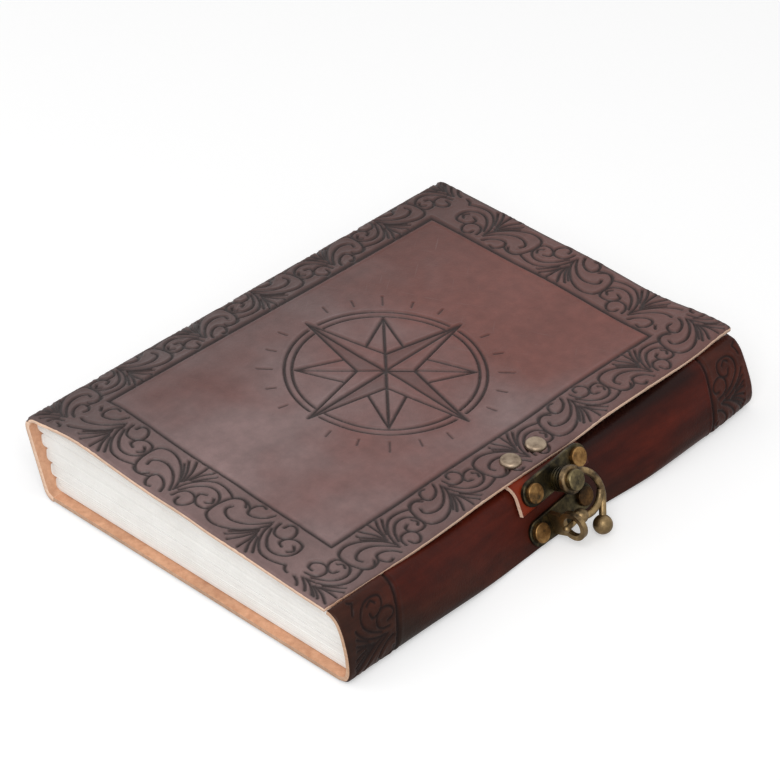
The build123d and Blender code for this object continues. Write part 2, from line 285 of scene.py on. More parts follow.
def attribute(tree, name):
    """A value stored on the mesh's points."""
    made = node(tree, "ShaderNodeAttribute")
    made.attribute_name = name
    return made.outputs["Fac"]


def bump(tree, height, strength, distance):
    """A bumped normal from a height."""
    return node(
        tree, "ShaderNodeBump", Height=height, Strength=strength, Distance=distance
    ).outputs["Normal"]


def leather(
    name, sheen_and_rubbed, panel, patch, border, groove, shine, specular, climb=0.0, brushed=0.05
):
    """Dyed leather with tooling and creases; its tone changes across the diary and up it as a
    painted sheen and a painted gloss.
    """
    material, tree, shader = new_material(name)
    where = place(tree)
    blotch = noise(tree, where, 20.0, 3.0, 0.5)
    fine = noise(tree, where, 260.0, 4.0, 0.6)
    axes = node(tree, "ShaderNodeSeparateXYZ", Vector=where)
    tilted = math_node(tree, "MULTIPLY", axes.outputs["X"], sheen_tilt)
    far = math_node(tree, "SUBTRACT", axes.outputs["Y"], tilted)
    far = math_node(tree, "ADD", far, math_node(tree, "MULTIPLY", axes.outputs["Z"], climb))
    tone = math_node(tree, "ADD", math_node(tree, "MULTIPLY", blotch, blotch_share), far)
    # Painted sheen: low tones, toward the tail and fore edge, turn lighter and greyer up to a
    # brighter copy of the colour; with climb, the flap turns redder toward its top as painted
    # gloss
    brightened = tuple(sheen_gain * part for part in sheen_and_rubbed[:3]) + (1.0,)
    dye = ramp(tree, tone, (0.05, brightened), (0.115, sheen_and_rubbed), (0.17, panel), (0.23, patch))
    bordered = math_node(tree, "MULTIPLY", attribute(tree, "border"), border_share)
    dye = mix(tree, bordered, dye, border)
    # Darker toward the spine; the ramp's zero lies 100 mm from the middle, on that side
    from_spine = math_node(tree, "MULTIPLY", axes.outputs["X"], 10.0)
    from_spine = math_node(tree, "ADD", from_spine, 1.0)
    dye = toned(tree, dye, from_spine, (0.34, 0.54), (0.82, 1.0))
    mottle = noise(tree, place(tree, (1, 0.6, 1)), 110.0, 5.0, 0.7)
    dye = toned(tree, dye, mottle, (0.3, 0.94), (0.7, 1.05))
    brush = noise(tree, place(tree, (1, 0.16, 1)), 170.0, 3.0, 0.6)
    dye = toned(tree, dye, brush, (0.34, 1 - brushed), (0.66, 1 + brushed))
    dye = toned(tree, dye, fine, (0.3, 0.86), (0.7, 1.1))
    for turn in scuff_turns:
        scuff = noise(tree, streaked(tree, turn, scuff_length), 1200.0, 2.0, 0.5)
        dye = mix(tree, ramp(tree, scuff, (0.69, grey(0.0)), (0.77, grey(0.3))), dye, sheen_and_rubbed)
    dye = mix(tree, attribute(tree, "groove"), dye, groove)
    gloss = ramp(tree, blotch, (0.3, grey(shine - 0.06)), (0.7, grey(shine + 0.1)))
    pores = node(tree, "ShaderNodeTexVoronoi", Vector=where, Scale=1500.0)
    grain = noise(tree, where, 900.0, 5.0, 0.65)
    creases = noise(tree, place(tree, (1, 0.45, 1)), 170.0, 4.0, 0.6)
    pitted = math_node(tree, "MULTIPLY", pores.outputs["Distance"], 0.5)
    relief = math_node(tree, "ADD", grain, pitted)
    relief = math_node(tree, "ADD", relief, math_node(tree, "MULTIPLY", creases, 0.9))
    normal = bump(tree, relief, 0.32, 0.00022)
    fill(
        tree, shader, Base_Color=dye, Roughness=gloss, Specular_IOR_Level=specular, Normal=normal
    )
    return material


def raw_leather(name, light, dark, fibre):
    """Undyed leather: a cut edge or a flesh side with its fibres."""
    material, tree, shader = new_material(name)
    threads = noise(tree, place(tree, fibre), 420.0, 6.0, 0.7)
    blotch = noise(tree, place(tree), 60.0, 4.0)
    tone = ramp(tree, threads, (0.3, dark), (0.65, light))
    tone = toned(tree, tone, blotch, (0.3, 0.84), (0.7, 1.06))
    normal = bump(tree, threads, 0.5, 0.00025)
    fill(tree, shader, Base_Color=tone, Roughness=0.85, Specular_IOR_Level=0.2, Normal=normal)
    return material


def paper_material():
    """Soft handmade paper with fibres and a faint warm mottle."""
    material, tree, shader = new_material("cotton_paper")
    where = place(tree)
    mottle = noise(tree, where, 70.0, 5.0, 0.6)
    fibres = noise(tree, place(tree, (1, 1, 6)), 900.0, 4.0, 0.7)
    tone = ramp(tree, mottle, (0.3, srgb(239, 237, 233)), (0.7, srgb(248, 247, 244)))
    tone = toned(tree, tone, fibres, (0.25, 0.95), (0.6, 1.0))
    normal = bump(tree, fibres, 0.35, 0.00015)
    fill(tree, shader, Base_Color=tone, Roughness=0.9, Specular_IOR_Level=0.15, Normal=normal)
    return material


def thread_material():
    """Waxed linen thread."""
    material, tree, shader = new_material("waxed_thread")
    fibres = noise(tree, place(tree, (1, 0.3, 1)), 1600.0, 4.0, 0.7)
    tone = ramp(tree, fibres, (0.3, srgb(186, 168, 136)), (0.7, srgb(226, 212, 184)))
    normal = bump(tree, fibres, 0.5, 0.00012)
    fill(tree, shader, Base_Color=tone, Roughness=0.6, Normal=normal)
    return material


def brass(name, bright, brown, dark, dark_share, shine, handled_and_highlight=0.0):
    """Antiqued brass: bright, browned and dark in blotches, and brightened low down by handling
    and a painted highlight.
    """
    material, tree, shader = new_material(name)
    where = place(tree)
    patina = noise(tree, where, 240.0, 6.0, 0.65)
    scratches = noise(tree, place(tree, (1, 7, 1)), 1300.0, 3.0, 0.6)
    low, high = dark_share - 0.14, dark_share + 0.2
    tone = ramp(tree, patina, (low, dark), (dark_share, brown), (high, bright))
    # Wear from handling, with a painted highlight, brightens low parts and fades out between 10
    # and 13 mm up
    height = node(tree, "ShaderNodeSeparateXYZ", Vector=where).outputs["Z"]
    raised = math_node(tree, "MULTIPLY", height, 50.0)
    brightened = ramp(tree, raised, (0.5, grey(handled_and_highlight)), (0.65, grey(0.0)))
    tone = mix(tree, brightened, tone, bright)
    tone = toned(tree, tone, scratches, (0.3, 0.86), (0.7, 1.08))
    gloss = ramp(tree, patina, (low, grey(shine + 0.22)), (high, grey(shine)))
    relief = math_node(tree, "ADD", patina, math_node(tree, "MULTIPLY", scratches, 0.5))
    normal = bump(tree, relief, 0.28, 0.00012)
    fill(tree, shader, Base_Color=tone, Metallic=1.0, Roughness=gloss, Normal=normal)
    return material


cover_leather = leather(
    "tooled_leather", sheen_and_rubbed=srgb(126, 102, 100), panel=srgb(119, 84, 80),
    patch=srgb(115, 70, 63), border=srgb(95, 74, 71), groove=srgb(26, 13, 11),
    shine=0.44, specular=0.38,
)
flap_leather = leather(
    "flap_leather", sheen_and_rubbed=srgb(41, 28, 21), panel=srgb(54, 24, 14),
    patch=srgb(67, 20, 10), border=srgb(66, 36, 27), groove=srgb(22, 10, 8),
    shine=0.36, specular=0.13, climb=5.0, brushed=0.36,
)
# The tab's border colour is its painted shade under the cover, with darker dye
tab_leather = leather(
    "tab_leather", sheen_and_rubbed=srgb(118, 38, 14), panel=srgb(122, 40, 14),
    patch=srgb(128, 42, 15), border=srgb(36, 16, 11), groove=srgb(90, 28, 12),
    shine=0.34, specular=0.16,
)
cut_edge = raw_leather("cut_edge", srgb(250, 218, 194), srgb(230, 186, 156), (1, 0.35, 3))
back_edge = raw_leather("back_edge", srgb(212, 176, 148), srgb(186, 146, 120), (1, 0.35, 3))
flesh_side = raw_leather("flesh_side", srgb(228, 178, 144), srgb(202, 148, 116), (1, 1, 1))
paper = paper_material()
linen = thread_material()
aged_brass = brass(
    "aged_brass", srgb(178, 140, 88), srgb(128, 94, 56), srgb(66, 56, 40), 0.47, 0.3
)
# Painted shadow: a darker brass for the lower plate's head rivet, which lies in the hook's shade
shaded_brass = brass(
    "shaded_brass", srgb(124, 92, 54), srgb(82, 58, 34), srgb(46, 37, 27), 0.5, 0.32
)
dark_brass = brass(
    "dark_brass", srgb(124, 111, 80), srgb(78, 70, 51), srgb(44, 41, 34), 0.55, 0.27
)
green_brass = brass(
    "green_brass", srgb(142, 128, 92), srgb(106, 94, 68), srgb(58, 54, 43), 0.48, 0.26
)
# The hook and eye are brightened on their lower parts, the bead and the ball: wear from handling,
# and a painted highlight
rubbed_highlit_brass = brass(
    "rubbed_highlit_brass", srgb(178, 150, 106), srgb(112, 93, 68), srgb(54, 47, 38), 0.5, 0.24, 0.35
)
pale_brass = brass(
    "pale_brass", srgb(168, 150, 130), srgb(138, 121, 104), srgb(84, 70, 58), 0.42, 0.34
)


# -------- mesh making
def add_object(name, data):
    """A new object in the scene."""
    made = bpy.data.objects.new(name, data)
    bpy.context.scene.collection.objects.link(made)
    return made


def make_piece(name, parts, materials, angle=60.0):
    """One object from sheets of points in millimetres, their faces, slots and point values."""
    points, quads, triangles, quad_slots, triangle_slots = [], [], [], [], []
    values = {}
    count = 0
    for part in parts:
        points.append(part["points"])
        quads.append(part["quads"] + count)
        triangles.append(part["triangles"] + count)
        quad_slots.append(part["quad_slots"])
        triangle_slots.append(part["triangle_slots"])
        for key, data in part["values"].items():
            values.setdefault(key, []).append(data)
        count += len(part["points"])
    points = np.concatenate(points)
    quads, triangles = np.concatenate(quads), np.concatenate(triangles)
    corners = np.concatenate([quads.ravel(), triangles.ravel()]).astype(np.int32)
    starts = np.concatenate([
        np.arange(len(quads)) * 4, len(quads) * 4 + np.arange(len(triangles)) * 3
    ]).astype(np.int32)
    mesh = bpy.data.meshes.new(name)
    mesh.vertices.add(len(points))
    mesh.vertices.foreach_set("co", (points * MM).astype(np.float32).ravel())
    mesh.loops.add(len(corners))
    mesh.polygons.add(len(starts))
    mesh.polygons.foreach_set("loop_start", starts)
    mesh.loops.foreach_set("vertex_index", corners)
    slots = np.concatenate(quad_slots + triangle_slots).astype(np.int32)
    mesh.polygons.foreach_set("material_index", slots)
    mesh.update(calc_edges=True)
    for key, data in values.items():
        made = mesh.attributes.new(key, "FLOAT", "POINT")
        made.data.foreach_set("value", np.concatenate(data).astype(np.float32))
    for material in materials:
        mesh.materials.append(material)
    mesh.shade_smooth()
    mesh.set_sharp_from_angle(angle=math.radians(angle))
    return add_object(name, mesh)


def rim(outer, inner, spots):
    """Triangles between a fine line of points and a coarse one, met at the given spots."""
    made = []
    for k in range(len(spots) - 1):
        start, end = spots[k], spots[k + 1]
        middle = (start + end) // 2
        made += [(outer[i], outer[i + 1], inner[k]) for i in range(start, middle)]
        made.append((outer[middle], inner[k + 1], inner[k]))
        made += [(outer[i], outer[i + 1], inner[k + 1]) for i in range(middle, end)]
    return np.array(made)


def sheet_part(
    outer, inner, rows=None, columns=None, turned=False, values=None, slots=(0, 1, 2)
):
    """A closed sheet: an outer grid, an inner one at some or all rows and columns, and edges."""
    count_q, count_y = outer.shape[:2]
    rows = range(count_q) if rows is None else rows
    columns = range(count_y) if columns is None else columns
    grid = np.arange(count_q * count_y).reshape(count_q, count_y)
    back = len(grid.ravel()) + np.arange(len(rows) * len(columns)).reshape(len(rows), -1)
    face = np.stack([grid[:-1, :-1], grid[1:, :-1], grid[1:, 1:], grid[:-1, 1:]], -1)
    under = np.stack([back[:-1, :-1], back[:-1, 1:], back[1:, 1:], back[1:, :-1]], -1)
    face, under = face.reshape(-1, 4), under.reshape(-1, 4)
    edges = np.concatenate([
        rim(grid[:, 0], back[:, 0], rows)[:, ::-1],
        rim(grid[:, -1], back[:, -1], rows),
        rim(grid[0], back[0], columns),
        rim(grid[-1], back[-1], columns)[:, ::-1],
    ])
    if turned:
        face, under, edges = face[:, ::-1], under[:, ::-1], edges[:, ::-1]
    reverse = inner[np.ix_(rows, columns)]
    points = np.concatenate([outer.reshape(-1, 3), reverse.reshape(-1, 3)])
    spare = np.zeros(len(points) - grid.size)
    return {
        "points": points,
        "quads": np.concatenate([face, under]),
        "triangles": edges,
        "quad_slots": np.repeat([slots[0], slots[2]], [len(face), len(under)]),
        "triangle_slots": np.full(len(edges), slots[1]),
        "values": {k: np.concatenate([v.ravel(), spare]) for k, v in (values or {}).items()},
    }


def decimate(piece, limit):
    """Fewer triangles where a sheet is flat."""
    triangles = sum(len(p.vertices) - 2 for p in piece.data.polygons)
    if triangles <= limit:
        return
    modifier = piece.modifiers.new("fewer", "DECIMATE")
    modifier.ratio = limit / triangles
    graph = bpy.context.evaluated_depsgraph_get()
    graph.update()
    finished = bpy.data.meshes.new_from_object(piece.evaluated_get(graph))
    piece.modifiers.clear()
    piece.data = finished


def steps(start, end, spacing):
    """Places from start to end, about a spacing apart."""
    return np.linspace(start, end, max(2, int(round(abs(end - start) / spacing)) + 1))


def spaced(count, stride):
    """Indices of every so many points, with the last one."""
    return sorted(set(range(0, count, stride)) | {count - 1})


def lift(path, ys):
    """XZ points (n, 2), or (n, y, 2), as XYZ points over the places along Y."""
    if path.ndim == 2:
        path = np.repeat(path[:, None], len(ys), 1)
    y = np.broadcast_to(ys[None, :], path.shape[:2])
    return np.stack([path[..., 0], y, path[..., 1]], -1)


def circle(angles):
    """Points of a unit circle."""
    return np.stack([np.cos(angles), np.sin(angles)], 1)


def directions(path):
    """Unit tangents along each line of points."""
    tangent = np.gradient(path, axis=0)
    return tangent / np.linalg.norm(tangent, axis=-1)[..., None]


def outward(path):
    """Normals of XZ lines, to the right of the way they run."""
    tangent = directions(path)
    return np.stack([tangent[..., 1], -tangent[..., 0]], -1)


def run_lengths(path):
    """Length along each line of points, from its first point."""
    gone = np.cumsum(np.linalg.norm(np.diff(path, axis=0), axis=-1), axis=0)
    return np.concatenate([np.zeros_like(gone[:1]), gone])


def spline(p0, p1, p2, p3, t):
    """A place between p1 and p2 on a smooth line through four points."""
    return 0.5 * (
        2 * p1 + (p2 - p0) * t + (2 * p0 - 5 * p1 + 4 * p2 - p3) * t**2
        + (3 * p1 - p0 - 3 * p2 + p3) * t**3
    )


# -------- tooling
def curve(points, spacing=0.18):
    """A smooth line through points, sampled closely."""
    points = np.array(points, float)
    first, last = 2 * points[0] - points[1], 2 * points[-1] - points[-2]
    padded = np.concatenate([[first], points, [last]])
    made = []
    for p0, p1, p2, p3 in zip(padded, padded[1:], padded[2:], padded[3:]):
        count = max(2, int(np.linalg.norm(p2 - p1) / spacing))
        t = np.linspace(0, 1, count, endpoint=False)[:, None]
        made.append(spline(p0, p1, p2, p3, t))
    return np.concatenate(made + [points[-1:]])


def eased(knots):
    """A smooth function through knots."""
    line = curve(knots, 0.5)
    return lambda spots: np.interp(spots, line[:, 0], line[:, 1])


# One unit of the scroll: strokes along and across a band, in the unit's own sizes
scroll_width = 17.4
scroll_pitch = 27.1
scroll = [
    [(-0.3, 5), (-1.8, 8.3), (-5, 12), (-8.5, 14.2), (-11.9, 14.7), (-14.7, 13.2), (-15.3, 9.3),
     (-14.5, 5.2), (-12.7, 3.2), (-10.8, 3.1), (-9.4, 4.6)],
    [(-0.6, 3.7), (-2.7, 6.8), (-5.5, 9.4), (-8.6, 10.5), (-11.2, 9.9), (-12.5, 8.4),
     (-12.1, 6.7)],
    [(-1.9, 1.7), (-2.9, 3.8), (-4.9, 5.5), (-7.1, 5.9), (-8.2, 4.6), (-7.9, 2.4), (-6.7, 1.1),
     (-5.3, 1.3)],
    [(-1.5, 8), (-3.4, 11.1), (-5.8, 13.8)],
    [(-1, 8.2), (-2.8, 11.8), (-5.7, 15.3)],
    [(-0.7, 8.7), (-1.9, 12.8), (-3.9, 16.4)],
    [(-0.5, 9.5), (-0.1, 13.1), (-0.1, 16.6)],
    [(-0.1, 10.1), (1, 13.6), (2.7, 16.5)],
    [(0.8, 10.3), (2.3, 12.9), (4.2, 15.6)],
    [(-0.3, 4.5), (0.4, 8.1), (2.4, 11.7), (5.3, 14.1), (8.4, 14.5), (11.3, 13.8), (12.9, 13)],
    [(12.9, 13), (13.9, 14.3), (15.9, 14.7), (18.3, 13.7), (19.4, 11.9)],
    [(0.9, 5.6), (2.9, 9.3), (5.7, 11.7), (8.8, 11.8), (11.1, 9.9), (11.6, 7.2), (10.8, 4.9),
     (8.3, 4.6), (6.4, 6.1), (6.1, 8.1), (7.6, 8.9)],
    [(1.2, 2.8), (1.6, 5), (3, 6.7), (5.4, 6.7), (7, 4.9), (6.7, 2.7), (5.1, 1.2), (3.4, 1.7),
     (3, 3.4)],
    [(9.6, 6.6), (10.7, 7.8), (9.9, 9.3)],
]


def scroll_band(start, along, out, pitch, depth, places):
    """A scrolled band: units along a frame line, each mirrored across it from the last."""
    made = []
    for unit, spot in enumerate(places):
        for stroke in scroll:
            stroke = np.array(stroke, float)
            across = stroke[:, 1] if unit % 2 == 0 else scroll_width - stroke[:, 1]
            s = spot + stroke[:, 0] * pitch / scroll_pitch
            t = across * depth / scroll_width
            line = np.array(start) + s[:, None] * np.array(along) + t[:, None] * np.array(out)
            made.append(curve(line))
    return made


def clipped(strokes, low, high):
    """The parts of strokes inside a rectangle."""
    made = []
    for stroke in strokes:
        inside = np.all((stroke > low) & (stroke < high), axis=1)
        if inside.any():
            made.append(stroke[inside])
    return made


def rose_strokes():
    """A plain compass rose: four long points, four short ones and two rings."""
    half = rose_waist * math.sqrt(0.5)
    tip, side, other = (rose_long_point, 0), (half, half), (half, -half)
    diagonal = (rose_short_point * math.sqrt(0.5),) * 2
    root = (rose_root, half * (rose_long_point - rose_root) / (rose_long_point - half))
    made = []
    for quarter in range(4):
        a = quarter * math.pi / 2
        turn = np.array([[math.cos(a), math.sin(a)], [-math.sin(a), math.cos(a)]])
        lines = [
            [tip, side], [tip, other], [(0, 0), tip], [(0, 0), side],
            [side, diagonal], [diagonal, root], [diagonal, root[::-1]],
        ]
        made += [curve(np.array(line, float) @ turn) for line in lines]
        arc = np.radians(np.linspace(4, 86, 42))
        for radius in rose_rings:
            made.append(curve(circle(arc) * radius @ turn))
    return [stroke + rose_center for stroke in made]


def rose_ticks():
    """Short marks round the rose, longer between its main points."""
    made = []
    for tick in range(0, 360, tick_every):
        if tick % 90:
            angle = math.radians(tick)
            spot = np.array([math.cos(angle), math.sin(angle)])
            end = long_tick_end if tick % 45 == 0 else tick_end
            made.append(curve([spot * tick_start, spot * end]) + rose_center)
    return made


def rose_facets(x, y):
    """One half of each long point lies lower than the other: zero to one."""
    half = rose_waist * math.sqrt(0.5)
    slope = half / (rose_long_point - half)
    made = np.zeros_like(x)
    for quarter in range(4):
        a = quarter * math.pi / 2
        u = (x - rose_center[0]) * math.cos(a) + (y - rose_center[1]) * math.sin(a)
        v = (y - rose_center[1]) * math.cos(a) - (x - rose_center[0]) * math.sin(a)
        outside = (slope * (rose_long_point - u) - v) / math.hypot(1, slope)
        inside = np.minimum(np.minimum(v, outside), (u - v) * math.sqrt(0.5))
        made = np.maximum(made, smooth(inside / facet_fade))
    return made


def near(strokes, x, y, reach=2.2):
    """Distance from each place to the nearest stroke, up to a reach."""
    samples = np.concatenate(strokes)
    tree = kdtree.KDTree(len(samples))
    for index, (sx, sy) in enumerate(samples):
        tree.insert((sx, sy, 0), index)
    tree.balance()
    found = np.full(x.size, reach)
    for index, spot in enumerate(zip(x.ravel(), y.ravel())):
        found[index] = min(reach, tree.find((spot[0], spot[1], 0))[2])
    return found.reshape(x.shape)


def pressed(distance, depth, width):
    """Height of leather beside a tooled line: a groove with a raised shoulder."""
    groove = np.exp(-((distance / width) ** 2))
    shoulder = np.exp(-(((distance - shoulder_place * width) / width) ** 2))
    return -depth * groove + shoulder_share * depth * shoulder, groove


# -------- settled block
# How the full block has settled: rise of the cover along its tail, head and fore edges, how far
# the fore edge was cut past its mean line, and how far the hide spreads at the spine and the tail
tail_rise = eased([
    (-72, 0), (-64, 0), (-56, 1.4), (-47, 2.6), (-37, 2.4), (-27, 1.7), (-14, 1.1), (0, 1.1),
    (14, 0.5), (60, 0.5),
])
head_rise = eased([
    (-72, 1.3), (-60, 1.4), (-40, 1.4), (-20, 1.4), (-4, 1.8), (8, 1.5), (20, 0.9), (34, 0.5),
    (60, 0.5),
])
fore_rise = eased([
    (-92, -0.2), (-60, -0.1), (-20, 0), (0, 0), (13, 0.05), (30, 1.4), (48, 1.5), (64, 1.2),
    (74, 1.6), (82, 2.7), (92, 3.1),
])
fore_cut = eased([
    (-92, 0.7), (-78, 1.1), (-64, 1.3), (-50, 1.3), (-36, 0.8), (-24, 0.2), (-14, 0), (0, 0),
    (92, 0),
])
fore_rise_start, fore_cut_start, fore_run = 20.0, 25.0, 28.0
head_spread, head_spread_start, head_spread_run = 1.0, -45.0, 15.0
tail_spread, tail_spread_start, tail_spread_run = 0.8, 60.0, 29.0
sewn_x, sewn_run = -63.0, 14.0


def spread_at_tail(y):
    """How far the hide spreads past its tail edge, where it lies on the table."""
    return tail_spread * smooth((-y - tail_spread_start) / tail_spread_run)


def settle(points, cover=True, sewn=False):
    """Points moved with the settled block: fully at the cover, not at the table or sewn folds."""
    x, y, z = (points[..., k].copy() for k in range(3))
    toward_head = (y / half_height + 1) / 2
    cover_z = cover_start[1] - (x - cover_start[0]) * math.tan(cover_slope)
    share = np.clip(z / cover_z, 0, 1)
    fore = smooth((x - fore_rise_start) / fore_run)
    rise = (1 - fore) * (tail_rise(x) * (1 - toward_head) + head_rise(x) * toward_head)
    if cover:
        rise += fore * fore_rise(y)
        points[..., 0] += smooth((x - fore_cut_start) / fore_run) * fore_cut(y) * share
        points[..., 1] -= spread_at_tail(y) * (1 - share)
    if sewn:
        rise *= smooth((x - sewn_x) / sewn_run)
    else:
        at_spine = smooth((head_spread_start - x) / head_spread_run)
        points[..., 0] -= head_spread * toward_head * share * at_spine
    points[..., 2] += rise * share
    return points


# -------- front cover and spine
spine_step = 0.6
sag_height = 0.12
sag_wave_x, sag_wave_y = 17.0, 23.0
sag_fore_x, sag_fore_run = 30.0, 20.0
sag_spine_margin, sag_spine_run = 14.0, 10.0
head_rim_tone, head_rim_width, head_rim_fade = 0.8, 1.5, 0.8
fold_rows_before, fold_rows_after = 12, 24


def front_hide():
    """Seam under the spine, up the spine, round the top fold and out over the front."""
    ys = steps(-half_height, half_height, fine_step)
    low_turn = np.linspace(-math.pi / 2, -math.pi + spine_lean, 10)
    low = bottom_fold + bend_outer * circle(low_turn)
    spine_rise = np.linalg.norm(top_fold - bottom_fold)
    rise = steps(0, spine_rise, spine_step)[1:-1]
    spine = bottom_fold + spine_out * bend_outer + rise[:, None] * spine_up
    turn_start, turn_end = math.pi + spine_lean, math.pi / 2 - cover_slope
    turn_count = int(bend_outer * (turn_start - turn_end) / fine_step)
    top_turn = np.linspace(turn_start, turn_end, turn_count)
    over = top_fold + bend_outer * circle(top_turn)
    run = steps(0, cover_reach, fine_step)[1:]
    front = cover_start + run[:, None] * cover_along
    path = np.concatenate([low, spine, over, front])
    normal = -outward(path)
    unrolled = np.concatenate([
        np.full(len(low) + len(spine), -far_off),
        cover_start[0] + bend_outer * (turn_end - top_turn), cover_start[0] + run,
    ])
    x, y = np.meshgrid(unrolled, ys, indexing="ij")

    pitch = 2 * frame_half / side_units
    places = (np.arange(side_units + 2) - 0.5) * pitch
    side_end = half_height - side_margin
    strokes = scroll_band((frame_fore_x, -frame_half), (0, 1), (1, 0), pitch, side_band, places)
    strokes += scroll_band(
        (frame_spine_x, frame_half), (0, -1), (-1, 0), pitch, side_band, places
    )
    strokes = clipped(strokes, (-far_off, -side_end), (far_off, side_end))
    pitch = (frame_fore_x - frame_spine_x) / end_units
    places = (np.arange(end_units) + end_first_unit) * pitch
    ends = scroll_band((frame_fore_x, frame_half), (-1, 0), (0, 1), pitch, end_band, places)
    ends += scroll_band((frame_spine_x, -frame_half), (1, 0), (0, -1), pitch, end_band, places)
    strokes += clipped(
        ends, (frame_spine_x + end_margin, -far_off), (frame_fore_x - end_margin, far_off)
    )
    strokes += rose_strokes()
    height, groove = pressed(near(strokes, x, y), groove_depth, groove_width)
    tick_height, tick_groove = pressed(near(rose_ticks(), x, y), tick_depth, tick_width)
    height, groove = height + tick_height, np.maximum(groove, tick_tone * tick_groove)

    beyond_x = np.maximum(frame_spine_x - x, x - frame_fore_x)
    beyond_y = np.abs(y) - frame_half
    beyond = np.maximum(beyond_x, beyond_y)
    line_height, line_groove = pressed(np.abs(beyond), frame_line_depth, frame_line_width)
    border = smooth((beyond + border_fade / 2) / border_fade)
    facets = rose_facets(x, y)
    edge = np.minimum(half_height - np.abs(y), cover_start[0] + cover_reach - x)
    rounded = cover_edge_drop * np.exp(-edge / cover_edge_fade)
    height += line_height + border_rise * border - facet_drop * facets - rounded
    groove = 1 - (1 - np.maximum(groove, line_groove)) ** groove_sharpness
    # Painted shade on the lower half facets, added to the groove value
    groove = np.clip(groove_tone * groove + facet_shade * facets, 0, groove_tone)
    head_rim = smooth((y - half_height + head_rim_width) / head_rim_fade)
    groove = np.maximum(groove, head_rim_tone * head_rim)
    on_cover = x > frame_spine_x - side_band
    height, groove = height * on_cover, groove * on_cover
    border = border * on_cover

    sag = sag_height * np.sin(x / sag_wave_x + 1.3) * np.sin(y / sag_wave_y + 0.4)
    sag = sag * smooth((sag_fore_x - x) / sag_fore_run)
    sag = sag * on_cover * smooth((x - frame_spine_x + sag_spine_margin) / sag_spine_run)
    outer, inner = lift(path, ys), lift(path - normal * hide, ys)
    outer[..., 0] += height * normal[:, None, 0]
    outer[..., 2] += height * normal[:, None, 1] + sag
    inner[..., 2] += sag
    outer, inner = settle(outer), settle(inner)
    values = {"groove": groove, "border": border}
    # The flesh side is as fine as the outside at the top fold, where it opens
    fold_rows = np.arange(
        len(low) + len(spine) - fold_rows_before, len(path) - len(front) + fold_rows_after
    )
    rows = np.union1d(spaced(len(path), row_stride), fold_rows)
    columns = spaced(len(ys), column_stride)
    made = sheet_part(outer, inner, rows, columns, False, values)
    return make_piece("front_hide", [made], [cover_leather, cut_edge, flesh_side])


# -------- back cover and flap
under_step = 3.0
# Painted shadow along the flap's lip under the cover: its darkness, width and fade, and where it
# starts along Y
lip_shade, lip_shade_width, lip_shade_fade = 0.85, 10.0, 5.0
lip_shade_start_y, lip_shade_run_y = 12.0, 8.0
lip_band_y, lip_band_run, lip_band_loss = 62.0, 12.0, 0.8
# How far the flap's base stands out past its profiles, from tail to head
flap_base_fill = eased([
    (-92, 0), (-75, 0), (-58, 0.2), (-42, 0.6), (-28, 0.9), (-16, 0.5), (-5, 0), (8, 0),
    (16, 0.15), (28, 0.6), (45, 0.5), (60, 0.1), (72, -0.2), (80, -0.8), (89, -1.6), (92, -1.7),
])


def flap_profiles(ys, samples):
    """The flap's outer profile at each place along it, (samples, y, 2)."""
    blend = np.linspace(flap_low_blend, half_height - flap_flat_half, len(flap_middle))
    flat_half = np.linspace(flap_low_flat_half, flap_flat_half, len(flap_middle))
    share = smooth((np.abs(ys)[:, None] - flat_half) / blend)[..., None]
    ends = np.where((ys < 0)[:, None, None], flap_tail, flap_head)
    controls = flap_middle + (ends - flap_middle) * share
    controls[..., 0] += flap_base_fill(ys)[:, None] * np.linspace(1, 0, len(flap_middle))
    first = 2 * controls[:, :1] - controls[:, 1:2]
    last = 2 * controls[:, -1:] - controls[:, -2:-1]
    controls = np.concatenate([first, controls, last], 1)
    spots = np.linspace(0, len(flap_middle) - 1 - 1e-9, samples)
    k = spots.astype(int)
    t = (spots - k)[None, :, None]
    made = spline(*(controls[:, k + shift] for shift in range(4)), t)
    return made.transpose(1, 0, 2)


def shaded_lip(y, from_lip):
    """Painted shadow along the lip on the head side, where it tucks under the cover, fading at
    the band.
    """
    painted_shade = lip_shade * smooth((lip_shade_width - from_lip) / lip_shade_fade)
    painted_shade = painted_shade * smooth((y - lip_shade_start_y) / lip_shade_run_y)
    return painted_shade * (1 - lip_band_loss * smooth((y - lip_band_y) / lip_band_run))


